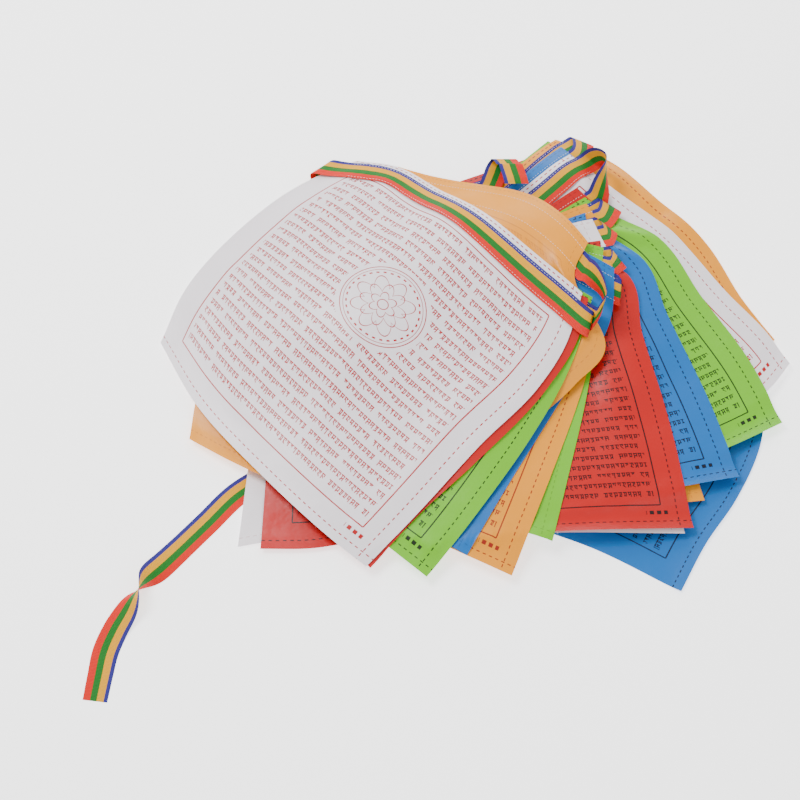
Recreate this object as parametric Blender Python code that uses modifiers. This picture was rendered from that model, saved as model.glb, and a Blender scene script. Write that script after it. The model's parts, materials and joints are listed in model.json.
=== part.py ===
"""A string of twenty satin flags sewn to one woven tape, laid down as a fanned zigzag heap.

Millimetres in the tables, metres in the scene. X right, Y away from the front, Z up.
"""
import bpy
import numpy as np

MM = 0.001

# Driving sizes
CLOTH = 1.0
TAPE = 1.0
CLEAR = 0.4
TAPE_WIDTH = 25.0
HEM_PAST_TAPE = 8.0
TAPE_PAST_SIDE = 7.0
SIDE_BAND = 4.0
FLAG_LONG = 330.0
FOLD_ROOM = 5.0
RUN_STEPS = 13
RASTER = 4.0
SOFTNESS = 32.0
SPREAD = 38.0
SLACK = 0.3
LOOP_FROM = 33.0
LOOP_REACH = 0.3
LOOP_STAND = 0.94
LOOP_RISE = 7.0
CROWD = 1.3
TOP_FLAG = 17
LAST_FLAG = 20
REAR_SQUARE_FROM = 6

# The plan of each flag, bottom of the heap first. order is its place on the string.
# hl, hr: left and right ends of its heading; br, bl: right and left corners of its hem.
# Each edge has its bends as (part of the edge, outward bow): heading hl to hr, right side
# hr to br, hem br to bl, left side hl to bl.
FLAGS = (
    dict(name="flag_01_blue", order=1, cells=9, hl=(-40, -44), hr=(128, 248), br=(370, 50), bl=(265, -200),
         hem=((0.38, 25), (0.6, 20), (0.8, 7)), left=((0.5, 6), (0.75, -2))),
    dict(name="flag_02_white", order=2, cells=9, hl=(-128, 180), hr=(145, 243), br=(180, -92), bl=(-155, -156)),
    dict(name="flag_03_red", order=3, cells=9, hl=(-122, 182), hr=(154, 292), br=(185, -70), bl=(-133, -159),
         hem=((0.7, 17), (0.85, 13))),
    dict(name="flag_04_green", order=4, cells=10, hl=(-62, 88), hr=(160, 306), br=(365, 60), bl=(140, -135),
         right=((0.17, 14), (0.5, 18))),
    dict(name="flag_05_yellow", order=5, cells=10, hl=(-66, 90), hr=(168, 306), br=(381, 66), bl=(148, -138),
         right=((0.08, 12), (0.17, 24), (0.4, 29), (0.62, 30), (0.83, 10))),
    dict(name="flag_06_blue", order=6, cells=10, hl=(-62, 80), hr=(172, 288), br=(378, 30), bl=(130, -140),
         right=((0.4, 12), (0.7, 6))),
    dict(name="flag_07_white", order=7, cells=10, hl=(-60, 76), hr=(180, 276), br=(392, 37), bl=(150, -145),
         right=((0.1, 4), (0.4, 21), (0.7, 13), (0.9, 8)), hem=((0.1, 8), (0.4, 5))),
    dict(name="flag_08_red", order=8, cells=10, hl=(-68, 52), hr=(185, 230), br=(352, -35), bl=(95, -148),
         right=((0.25, 20), (0.5, 16))),
    dict(name="flag_09_green", order=9, cells=10, hl=(-67, 46), hr=(193, 219), br=(377, -29), bl=(85, -152),
         right=((0.07, 8), (0.25, 36), (0.5, 29), (0.8, 18)), hem=((0.15, 3),)),
    dict(name="flag_10_yellow", order=10, cells=10, hl=(-100, 85), hr=(193, 207), br=(294, -110), bl=(-5, -148),
         right=((0.2, 15), (0.5, 12))),
    dict(name="flag_11_blue", order=11, cells=10, hl=(-98, 78), hr=(191, 195), br=(329, -87), bl=(17, -152),
         right=((0.03, -3), (0.11, 11), (0.22, 30), (0.42, 23), (0.7, 16))),
    dict(name="flag_12_white", order=12, cells=10, hl=(-106, 105), hr=(197, 184), br=(272, -144), bl=(-45, -150),
         right=((0.2, 10), (0.6, 8))),
    dict(name="flag_13_red", order=13, cells=10, hl=(-105, 99), hr=(204, 159), br=(280, -140), bl=(-40, -156),
         right=((0.05, -2), (0.14, 17), (0.34, 12), (0.64, 11))),
    dict(name="flag_14_green", order=14, cells=10, hl=(-70, 214), hr=(206, 147), br=(144, -156), bl=(-152, -62),
         right=((0.45, 9), (0.8, 4))),
    dict(name="flag_15_yellow", order=15, cells=10, hl=(-66, 218), hr=(214, 127), br=(105, -188), bl=(-176, -48),
         right=((0.4, 9), (0.7, 6)), hem=((0.2, 2),)),
    dict(name="flag_16_blue", order=16, cells=10, hl=(-42, 260), hr=(215, 122), br=(63, -169), bl=(-188, -28),
         left_reach=29, right=((0.12, 17), (0.47, 11), (0.8, 4))),
    dict(name="flag_20_yellow", order=20, cells=12, hl=(-2, 270), hr=(189, 147), br=(35, -160), bl=(-207, -46),
         heading=((0.15, 4), (0.36, 12), (0.7, 20), (0.9, 9)),
         right=((0.12, 4), (0.26, 60), (0.4, 50), (0.6, 25)), hem=((0.85, 4),),
         left=((0.5, 8), (0.9, 20))),
    dict(name="flag_19_green", order=19, cells=10, hl=(-68, 237), hr=(191, 87), br=(25, -189), bl=(-203, 34),
         right=((0.17, 13), (0.5, 18), (0.8, 10)), hem=((0.15, 5),)),
    dict(name="flag_18_red", order=18, cells=10, hl=(-63, 243), hr=(186, 82), br=(-28, -180), bl=(-230, 48),
         right=((0.11, 16), (0.28, 23), (0.6, 16), (0.8, 5)), hem=((0.4, 10),)),
    dict(name="flag_17_white", order=17, cells=14, hl=(-45, 275), hr=(180, 87), br=(-32, -179), bl=(-243, 62),
         left_reach=7, heading=((0.14, 17), (0.38, 14), (0.69, 5)),
         right=((0.15, 18), (0.3, 23), (0.55, 15), (0.8, 8)),
         hem=((0.1, 6), (0.4, 16), (0.76, 16)),
         left=((0.1, 11), (0.31, 28), (0.6, 33), (0.83, 22))),
)

# Soft folds of single flags: from and to are (across from the left, down from the heading).
FOLDS = (
    dict(name="flag_05_yellow", start=(0.9, 0.05), end=(0.97, 0.5), high=6, wide=30),
    dict(name="flag_07_white", start=(0.93, 0.08), end=(0.88, 0.5), high=5, wide=26),
    dict(name="flag_09_green", start=(0.9, 0.12), end=(0.8, 0.55), high=6, wide=30),
    dict(name="flag_11_blue", start=(0.94, 0.1), end=(0.9, 0.5), high=6, wide=28),
    dict(name="flag_13_red", start=(0.92, 0.1), end=(0.93, 0.5), high=5, wide=28),
    dict(name="flag_20_yellow", start=(0.95, 0.2), end=(0.85, 0.6), high=8, wide=34),
    dict(name="flag_19_green", start=(0.9, 0.1), end=(0.9, 0.6), high=4, wide=30),
    dict(name="flag_17_white", start=(0.12, 0.1), end=(0.1, 0.75), high=8, wide=46),
    dict(name="flag_17_white", start=(0.45, 0.15), end=(0.3, 0.8), high=4, wide=30),
)

# The tape's front tail on the floor: middle of the tape, its width and the turn of its flat
# side about its length, in degrees.
FRONT_TAIL = (
    dict(at=(-279, -304), wide=23, turn=180),
    dict(at=(-276, -279), wide=24, turn=180),
    dict(at=(-273, -258), wide=25, turn=180),
    dict(at=(-266, -238), wide=25, turn=178),
    dict(at=(-257, -221), wide=25, turn=165),
    dict(at=(-250, -208), wide=25, turn=135),
    dict(at=(-243, -197), wide=25, turn=90),
    dict(at=(-236, -187), wide=25, turn=45),
    dict(at=(-226, -175), wide=25, turn=15),
    dict(at=(-210, -157), wide=25, turn=2),
    dict(at=(-186, -131), wide=25, turn=0),
    dict(at=(-157, -100), wide=25, turn=0),
    dict(at=(-120, -78), wide=25, turn=0),
    dict(at=(-85, -70), wide=25, turn=0),
)

# The tape's rear tail: it goes back under the last flag, out behind it and over in a roll.
REAR_TAIL = (
    dict(at=(-20, 258), rise=0),
    dict(at=(2, 242), rise=0),
    dict(at=(30, 224), rise=0),
    dict(at=(62, 211), rise=0),
    dict(at=(84, 222), rise=0),
    dict(at=(94, 240), rise=1),
    dict(at=(101, 256), rise=4),
    dict(at=(105, 266), rise=9),
    dict(at=(109, 268), rise=14),
    dict(at=(113, 260), rise=18),
    dict(at=(118, 244), rise=17),
    dict(at=(122, 228), rise=12),
)

COLOURS = {
    "blue": (0.03, 0.27, 0.66, 1.0),
    "white": (0.78, 0.74, 0.77, 1.0),
    "red": (0.85, 0.06, 0.03, 1.0),
    "green": (0.30, 0.72, 0.16, 1.0),
    "yellow": (1.0, 0.38, 0.02, 1.0),
    "tape": (0.62, 0.26, 0.10, 1.0),
}


def material(name, colour):
    """A satin finish of one colour."""
    mat = bpy.data.materials.new(name)
    mat.use_nodes = True
    shader = mat.node_tree.nodes["Principled BSDF"]
    shader.inputs["Base Color"].default_value = colour
    shader.inputs["Roughness"].default_value = 0.45
    shader.inputs["Metallic"].default_value = 0.0
    return mat


def bow(part, bends):
    """How far an edge bows out, through its bends, from nothing at each end."""
    knots = np.array(((0.0, 0.0),) + tuple(bends) + ((1.0, 0.0),), float)
    slope = np.gradient(knots[:, 1], knots[:, 0])
    row = np.clip(np.searchsorted(knots[:, 0], part, side="right") - 1, 0, len(knots) - 2)
    span = knots[row + 1, 0] - knots[row, 0]
    t = (part - knots[row, 0]) / span
    first = (1 + 2 * t) * (1 - t) ** 2 * knots[row, 1] + t * (1 - t) ** 2 * span * slope[row]
    return first + t * t * (3 - 2 * t) * knots[row + 1, 1] - t * t * (1 - t) * span * slope[row + 1]


def edge(flag, start, end, bends, part):
    """Points of one edge of a flag, bowed away from the flag's middle."""
    a, b = np.array(flag[start], float), np.array(flag[end], float)
    middle = np.mean([flag[key] for key in ("hl", "hr", "br", "bl")], axis=0)
    along = (b - a) / np.linalg.norm(b - a)
    out = np.array((-along[1], along[0]))
    if out @ ((a + b) / 2 - middle) < 0:
        out = -out
    part = np.asarray(part, float)[..., None]
    return a + (b - a) * part + out * bow(part, bends)


def plan(flag, u, v):
    """Plan point of a flag at u across from its left side and v down from its heading."""
    u, v = np.asarray(u, float), np.asarray(v, float)
    top = edge(flag, "hl", "hr", flag.get("heading", ()), u)
    hem = edge(flag, "br", "bl", flag.get("hem", ()), 1 - u)
    left = edge(flag, "hl", "bl", flag.get("left", ()), v)
    right = edge(flag, "hr", "br", flag.get("right", ()), v)
    hl, hr, br, bl = (np.array(flag[key], float) for key in ("hl", "hr", "br", "bl"))
    u, v = u[..., None], v[..., None]
    flat = (1 - u) * (1 - v) * hl + u * (1 - v) * hr + u * v * br + (1 - u) * v * bl
    return (1 - v) * top + v * hem + (1 - u) * left + u * right - flat


def lift(flag, u, v):
    """Extra height of a flag along its own soft folds."""
    high = np.zeros(np.shape(u))
    for fold in FOLDS:
        if fold["name"] != flag["name"]:
            continue
        a, b = np.array(fold["start"]), np.array(fold["end"])
        reach = np.stack((u - a[0], v - a[1]), -1)
        t = np.clip(reach @ (b - a) / ((b - a) @ (b - a)), 0, 1)
        away = np.linalg.norm(reach - t[..., None] * (b - a), axis=-1) * FLAG_LONG
        high = high + fold["high"] * np.exp(-(away / fold["wide"]) ** 2)
    return high


def grid_faces(rows, columns):
    """Triangles of a grid of points, each cell cut the same way."""
    faces = []
    for r in range(rows - 1):
        for c in range(columns - 1):
            a = r * columns + c
            b, d, e = a + 1, a + columns, a + columns + 1
            faces += [(a, d, e), (a, e, b)]
    return faces


class Heap:
    """The height of what already lies under each point of the floor."""

    def __init__(self):
        self.x = np.arange(-360.0, 460.0, RASTER)
        self.y = np.arange(-360.0, 380.0, RASTER)
        self.top = np.zeros((len(self.x), len(self.y)))
        self.rest = np.zeros((len(self.x), len(self.y)))

    def blur(self, heights):
        """The same heights with their steps rounded."""
        reach = int(2.6 * SOFTNESS / RASTER)
        kernel = np.exp(-(np.arange(-reach, reach + 1) * RASTER / SOFTNESS) ** 2 / 2)
        kernel /= kernel.sum()
        rows = np.apply_along_axis(lambda line: np.convolve(line, kernel, "same"), 0, heights)
        return np.apply_along_axis(lambda line: np.convolve(line, kernel, "same"), 1, rows)

    def spread(self, heights):
        """The same heights, each reaching SPREAD further out all round."""
        reach = int(SPREAD / RASTER)
        for axis in (0, 1):
            heights = np.max([np.roll(heights, k, axis) for k in range(-reach, reach + 1)], axis=0)
        return heights

    def read(self, heights, points):
        """Heights at plan points, between the raster's own."""
        i = np.clip((points[:, 0] - self.x[0]) / RASTER, 0, len(self.x) - 1.001)
        j = np.clip((points[:, 1] - self.y[0]) / RASTER, 0, len(self.y) - 1.001)
        a, b = i.astype(int), j.astype(int)
        s, t = i - a, j - b
        near = heights[a, b] * (1 - t) + heights[a, b + 1] * t
        far = heights[a + 1, b] * (1 - t) + heights[a + 1, b + 1] * t
        return near * (1 - s) + far * s

    def under(self, points, faces):
        """Raster points below each triangle, as row, column, corners and corner shares."""
        found = []
        for face in faces:
            a, b, c = points[list(face)]
            low = np.floor((np.minimum(np.minimum(a, b), c) - (self.x[0], self.y[0])) / RASTER).astype(int)
            top = np.ceil((np.maximum(np.maximum(a, b), c) - (self.x[0], self.y[0])) / RASTER).astype(int)
            i, j = np.meshgrid(np.arange(low[0], top[0] + 1), np.arange(low[1], top[1] + 1), indexing="ij")
            i, j = i.ravel(), j.ravel()
            p = np.stack((self.x[i], self.y[j]), -1) - a
            area = (b - a)[0] * (c - a)[1] - (b - a)[1] * (c - a)[0]
            if abs(area) < 1e-6:
                continue
            s = (p[:, 0] * (c - a)[1] - p[:, 1] * (c - a)[0]) / area
            t = ((b - a)[0] * p[:, 1] - (b - a)[1] * p[:, 0]) / area
            inside = (s > -0.06) & (t > -0.06) & (s + t < 1.06)
            shares = np.stack((1 - s - t, s, t), -1)[inside]
            corners = np.tile(face, (len(shares), 1))
            found.append((i[inside], j[inside], corners, shares))
        return tuple(np.concatenate(part) for part in zip(*found))

    def lay(self, points, faces, thick, extra=0.0):
        """Rest a sheet on the heap, clear of it everywhere, and add it to the heap."""
        i, j, corners, shares = self.under(points, faces)
        need = np.where(self.top[i, j] > 0, self.top[i, j] + CLEAR, 0.0)
        for step in range(8):
            high = self.read(self.rest, points) + extra
            short = np.zeros(self.top.shape)
            np.maximum.at(short, (i, j), need - (high[corners] * shares).sum(1))
            if short.max() < 0.01:
                break
            self.rest += 1.1 * self.blur(self.spread(short))
        np.maximum.at(self.top, (i, j), (high[corners] * shares).sum(1) + thick)
        mask = np.zeros(self.top.shape)
        mask[i, j] = 1.0
        self.rest += (thick + CLEAR + SLACK) * self.blur(self.spread(mask))
        if np.any(extra):
            bump = np.zeros(self.top.shape)
            lifted = (np.broadcast_to(extra, len(high))[corners] * shares).sum(1)
            np.maximum.at(bump, (i, j), lifted)
            self.rest += self.blur(bump)
        return high

    def cover(self, sections):
        """Keep later sheets clear of a fold of the tape."""
        points = np.array(sections).reshape(-1, 3)
        faces = grid_faces(len(sections), 2)
        i, j, corners, shares = self.under(points[:, :2], faces)
        high = (points[corners, 2] * shares).sum(1) + TAPE / 2
        short = np.zeros(self.top.shape)
        np.maximum.at(short, (i, j), high + CLEAR - self.rest[i, j])
        np.maximum.at(self.top, (i, j), high)
        self.rest += self.blur(self.spread(short))


def side_reach(flag, out, start, end, side, depth):
    """How far the tape goes past a heading's end to clear the flag's side, at a depth."""
    band = np.linspace(max(0.0, depth - SIDE_BAND), depth + SIDE_BAND, 5)
    line = edge(flag, start, end, flag.get(side, ()), band / FLAG_LONG)
    return max(0.0, ((line - np.array(flag[start], float)) @ out).max()) + TAPE_PAST_SIDE


def run_plan(flag, past):
    """Both edges of the tape along one heading, from left to right, and past its ends."""
    u = 1 - (1 - np.linspace(0, 1, RUN_STEPS + 1)) ** CROWD
    head = edge(flag, "hl", "hr", flag.get("heading", ()), u)
    along = np.gradient(head, u, axis=0)
    along /= np.linalg.norm(along, axis=1)[:, None]
    middle = np.mean([flag[key] for key in ("hl", "hr", "br", "bl")], axis=0)
    inward = np.stack((-along[:, 1], along[:, 0]), -1)
    inward *= np.sign(((middle - head) * inward).sum(1))[:, None]
    blue = head + inward * HEM_PAST_TAPE
    red = blue + inward * TAPE_WIDTH
    reach = np.zeros((2, 2))
    ends = []
    for k, (line, depth) in enumerate(((blue, HEM_PAST_TAPE), (red, HEM_PAST_TAPE + TAPE_WIDTH))):
        reach[0, k] = side_reach(flag, -along[0], "hl", "bl", "left", depth) + past
        reach[0, k] += flag.get("left_reach", 0.0)
        reach[1, k] = side_reach(flag, along[-1], "hr", "br", "right", depth) + past
        first, last = line[0] - along[0] * reach[0, k], line[-1] + along[-1] * reach[1, k]
        ends.append(np.vstack((first, line, last)))
    return ends[0], ends[1], -along[0], along[-1], reach


def strip_points(blue, red):
    """The two edges of a strip as one list of points, a pair to a section."""
    return np.stack((blue, red), 1).reshape(-1, blue.shape[1])


def turn_over(one, two, out):
    """Sections that fold the tape back from one end to the next, or loop it on edge."""
    apart = (two[0] + two[1] - one[0] - one[1])[:2] / 2
    rise = abs((two[0] + two[1] - one[0] - one[1])[2]) / 2
    out = np.array((out[0], out[1], 0.0))
    sections = []
    if np.linalg.norm(apart) < LOOP_FROM:
        reach = min(FOLD_ROOM, max(0.75, 0.5 * rise))
        for angle in np.radians((40, 90, 140)):
            share = (1 - np.cos(angle)) / 2
            move = out * reach * np.sin(angle)
            sections.append([one[k] * (1 - share) + two[k] * share + move for k in (0, 1)])
        return sections
    reach = LOOP_REACH * np.linalg.norm(apart)
    width = one[0] - one[1]
    width[2] = 0
    width *= TAPE_WIDTH / np.linalg.norm(width)
    for share in np.linspace(0, 1, 9)[1:-1]:
        bank = np.sin(np.pi * share) * np.pi / 2 * LOOP_STAND
        middle = (one[0] + one[1]) / 2 * (1 - share) + (two[0] + two[1]) / 2 * share
        middle = middle + out * reach * np.sin(np.pi * share)
        middle[2] += TAPE_WIDTH / 2 * np.sin(bank) + LOOP_RISE * np.sin(np.pi * share) ** 0.6
        half = (width * np.cos(bank) + np.array((0, 0, TAPE_WIDTH)) * np.sin(bank)) / 2
        sections.append([middle + half, middle - half])
    return sections


def build(name, points, faces, thick, offset, mat, collection):
    """A sheet of even thickness on the given points, in metres."""
    mesh = bpy.data.meshes.new(name)
    mesh.from_pydata([tuple(p * MM) for p in points], [], faces)
    mesh.update()
    obj = bpy.data.objects.new(name, mesh)
    collection.objects.link(obj)
    mesh.materials.append(mat)
    shell = obj.modifiers.new("thickness", "SOLIDIFY")
    shell.thickness = thick * MM
    shell.offset = offset
    mesh.shade_smooth()
    return obj


def across(rows):
    """The middles of a tail's points and the plan directions across it."""
    at = np.array([row["at"] for row in rows], float)
    along = np.gradient(at, axis=0)
    along /= np.linalg.norm(along, axis=1)[:, None]
    return at, np.stack((-along[:, 1], along[:, 0]), -1)


def front_tail(heap):
    """The tail that leaves the first flag, twists once on the floor and is cut square."""
    at, side = across(FRONT_TAIL)
    turn = np.radians([row["turn"] for row in FRONT_TAIL])
    half = np.array([row["wide"] for row in FRONT_TAIL]) / 2
    flat = side * (half * np.cos(turn))[:, None]
    stand = half * np.abs(np.sin(turn))
    blue, red = at + flat, at - flat
    rest = heap.lay(strip_points(blue, red), grid_faces(len(at), 2), TAPE).reshape(-1, 2) + TAPE / 2
    sections = []
    for k in range(len(at)):
        high = np.sin(turn[k]) * half[k]
        sections.append([np.array((*blue[k], rest[k][0] + stand[k] + high)),
                         np.array((*red[k], rest[k][1] + stand[k] - high))])
    return sections


def rear_tail(heap):
    """The tail that leaves the last flag and rolls over behind the heap."""
    at, side = across(REAR_TAIL)
    side[REAR_SQUARE_FROM:] = (-1.0, 0.0)
    blue, red = at + side * TAPE_WIDTH / 2, at - side * TAPE_WIDTH / 2
    rest = heap.lay(strip_points(blue, red), grid_faces(len(at), 2), TAPE).reshape(-1, 2) + TAPE / 2
    sections = []
    for k, row in enumerate(REAR_TAIL):
        sections.append([np.array((*blue[k], rest[k][0] + row["rise"])),
                         np.array((*red[k], rest[k][1] + row["rise"]))])
    return sections


class FlagString:
    """The flags and their tape, laid from the bottom of the heap to its top."""

    def __init__(self):
        self.heap = Heap()
        self.sheets = {}
        self.runs = {}
        self.folds = {}
        self.front = []
        self.rear = []

    def lay_flag(self, flag):
        """Lay one flag's sheet."""
        n = flag["cells"]
        steps = np.linspace(0, 1, n + 1)
        v, u = np.meshgrid(steps ** CROWD, 1 - (1 - steps) ** CROWD, indexing="ij")
        points = plan(flag, u.ravel(), v.ravel())
        faces = grid_faces(n + 1, n + 1)
        high = self.heap.lay(points, faces, CLOTH, lift(flag, u.ravel(), v.ravel()))
        self.sheets[flag["name"]] = (np.column_stack((points, high)), faces)

    def lay_run(self, flag):
        """Lay the tape along one flag's heading, in the order of the string."""
        blue, red, left, right, reach = run_plan(flag, FOLD_ROOM)
        points = strip_points(blue, red)
        high = self.heap.lay(points, grid_faces(len(blue), 2), TAPE).reshape(-1, 2) + TAPE / 2
        blue, red = run_plan(flag, 0.0)[:2]
        high[0] += (high[1] - high[0]) * FOLD_ROOM / reach[0]
        high[-1] += (high[-2] - high[-1]) * FOLD_ROOM / reach[1]
        sections = [[np.array((*blue[k], high[k][0])), np.array((*red[k], high[k][1]))]
                    for k in range(len(blue))]
        order = flag["order"]
        if order % 2 == 0:
            sections = sections[::-1]
        self.runs[order] = (sections, left, right)
        for first, second in ((order - 1, order), (order, order + 1)):
            if first in self.runs and second in self.runs:
                self.link(first, second)

    def link(self, first, second):
        """Join two runs that follow each other on the string."""
        one, two = self.runs[first], self.runs[second]
        out = one[2] + two[2] if first % 2 else one[1] + two[1]
        fold = turn_over(one[0][-1], two[0][0], out / np.linalg.norm(out))
        self.folds[second] = fold
        if len(fold) > 3:
            return
        if first % 2 and second < TOP_FLAG:
            for point in (p for section in fold for p in section):
                under = self.heap.read(self.heap.top, point[None, :2])[0]
                point[2] = max(point[2], under + CLEAR + TAPE / 2)
        self.heap.cover([one[0][-1]] + fold + [two[0][0]])

    def lay(self):
        """Lay every flag and run, and both tails."""
        for flag in FLAGS:
            if flag["order"] == LAST_FLAG:
                self.rear = rear_tail(self.heap)
            if flag["order"] % 2:
                self.lay_flag(flag)
                self.lay_run(flag)
            else:
                self.lay_run(flag)
                self.lay_flag(flag)
            if flag["order"] == 1:
                self.front = front_tail(self.heap)

    def strip(self):
        """Both edges of the whole tape, from the front tail's cut end to the rear tail's."""
        strip = list(self.front)
        for order in range(1, LAST_FLAG + 1):
            strip += self.folds.get(order, []) + self.runs[order][0]
        strip += turn_over(strip[-1], self.rear[0], self.runs[LAST_FLAG][1])
        return np.array(strip + self.rear).reshape(-1, 3)


def main():
    """Empty the scene, lay the string and build a sheet for each flag and for the tape."""
    for old in list(bpy.data.objects):
        bpy.data.objects.remove(old, do_unlink=True)
    collection = bpy.data.collections.new("flag_string")
    bpy.context.scene.collection.children.link(collection)
    mats = {key: material(key, colour) for key, colour in COLOURS.items()}

    string = FlagString()
    string.lay()
    strip = string.strip()
    everything = np.vstack([points for points, faces in string.sheets.values()] + [strip])
    middle = (everything.min(0) + everything.max(0)) / 2
    middle[2] = 0
    for flag in FLAGS:
        points, faces = string.sheets[flag["name"]]
        colour = flag["name"].split("_")[2]
        build(flag["name"], points - middle, faces, CLOTH, 1.0, mats[colour], collection)
    build("tape", strip - middle, grid_faces(len(strip) // 2, 2), TAPE, 0.0, mats["tape"], collection)


main()
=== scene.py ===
"""Dresses a fanned heap of twenty satin flags sewn to one woven tape.

Lengths are millimetres in the tables and in the plan, metres in the meshes.
X right, Y away from the front, Z up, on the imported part's own frame.
"""
from __future__ import annotations

import json
import logging
import math
from dataclasses import dataclass
from enum import Enum

import bpy
import numpy as np
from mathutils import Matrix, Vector

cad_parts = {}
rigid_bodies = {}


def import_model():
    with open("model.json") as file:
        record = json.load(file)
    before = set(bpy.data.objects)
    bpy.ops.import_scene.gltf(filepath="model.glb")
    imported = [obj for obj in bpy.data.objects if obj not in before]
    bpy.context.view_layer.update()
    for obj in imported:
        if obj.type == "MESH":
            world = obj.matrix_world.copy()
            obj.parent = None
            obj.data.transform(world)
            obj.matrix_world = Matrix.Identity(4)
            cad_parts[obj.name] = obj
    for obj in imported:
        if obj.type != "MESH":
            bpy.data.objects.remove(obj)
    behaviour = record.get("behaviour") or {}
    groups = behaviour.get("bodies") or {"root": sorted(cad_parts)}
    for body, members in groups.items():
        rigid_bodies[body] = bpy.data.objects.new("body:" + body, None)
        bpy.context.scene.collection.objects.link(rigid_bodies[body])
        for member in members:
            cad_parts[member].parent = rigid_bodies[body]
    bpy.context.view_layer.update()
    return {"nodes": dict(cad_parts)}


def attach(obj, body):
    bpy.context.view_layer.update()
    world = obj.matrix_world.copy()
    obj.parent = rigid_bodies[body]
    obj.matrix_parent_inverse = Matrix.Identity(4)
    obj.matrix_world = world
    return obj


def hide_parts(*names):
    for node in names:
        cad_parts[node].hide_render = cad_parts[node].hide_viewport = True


LOG = logging.getLogger("flag_string")

MM = 0.001
FLAG_WIDTH = 320.0
FLAG_LENGTH = 345.0
TAPE_WIDTH = 25.0
HEM_PAST_TAPE = 8.0
TAPE_PAST_SIDE = 7.0
SIDE_BAND = 4.0
FLAG_LONG = 330.0
CROWD = 1.3
MIDDLE = np.array((50.79, 1.55))
CLOTH_GAP = 0.45
TAPE_GAP = 0.55
FLOOR_GAP = 0.15
HEADING_SPAN = 335.0
GRID = 104
RUN_STEPS = 90
TAPE_COLUMNS = 6
# Parts of the tape's reach past a heading at which it has a row of points.
END_ROWS = (1.0, 0.66, 0.33)
# The tape's height above or below the solid's lower face.
TAPE_OVER = 1.0
TAPE_UNDER = -1.6


class Side(Enum):
    """Which face of a flag's heading the tape is sewn to, seen from above."""

    OVER = 1
    UNDER = 0


@dataclass(frozen=True)
class FlagPlan:
    """One flag's outline in the heap, in millimetres.

    hl and hr are the ends of its heading, br and bl the corners of its hem. Each edge has its
    bends as (part of the edge, outward bow).
    """

    colour: str
    order: int
    cells: int
    hl: tuple
    hr: tuple
    br: tuple
    bl: tuple
    heading: tuple = ()
    right: tuple = ()
    hem: tuple = ()
    left: tuple = ()
    left_reach: float = 0.0

    @property
    def name(self) -> str:
        """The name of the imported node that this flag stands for."""
        return f"flag_{self.order:02d}_{self.colour}"

    @property
    def side(self) -> Side:
        """The tape lies over the flags of odd place and under the others."""
        return Side.OVER if self.order % 2 else Side.UNDER

    def edge(self, start: str, end: str, part: np.ndarray) -> np.ndarray:
        """Points of one edge, bowed away from the flag's middle.

        Args:
            start: the corner where the edge starts.
            end: the corner where it ends.
            part: parts of the way along it.

        Returns:
            One plan point for each part.
        """
        bends = {"hlhr": self.heading, "hrbr": self.right, "brbl": self.hem, "hlbl": self.left}
        a, b = np.array(getattr(self, start), float), np.array(getattr(self, end), float)
        middle = np.mean([self.hl, self.hr, self.br, self.bl], axis=0)
        along = (b - a) / np.linalg.norm(b - a)
        out = np.array((-along[1], along[0]))
        if out @ ((a + b) / 2 - middle) < 0:
            out = -out
        part = np.asarray(part, float)
        return a + (b - a) * part[..., None] + out * bow(part, bends[start + end])[..., None]

    def plan(self, u: np.ndarray, v: np.ndarray) -> np.ndarray:
        """Plan points of the flag.

        Args:
            u: parts of the way across from its left side.
            v: parts of the way down from its heading.

        Returns:
            One plan point for each pair.
        """
        top, hem = self.edge("hl", "hr", u), self.edge("br", "bl", 1 - u)
        left, right = self.edge("hl", "bl", v), self.edge("hr", "br", v)
        u, v = u[..., None], v[..., None]
        hl, hr, br, bl = (np.array(corner, float) for corner in (self.hl, self.hr, self.br, self.bl))
        flat = (1 - u) * (1 - v) * hl + u * (1 - v) * hr + u * v * br + (1 - u) * v * bl
        return (1 - v) * top + v * hem + (1 - u) * left + u * right - flat


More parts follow.
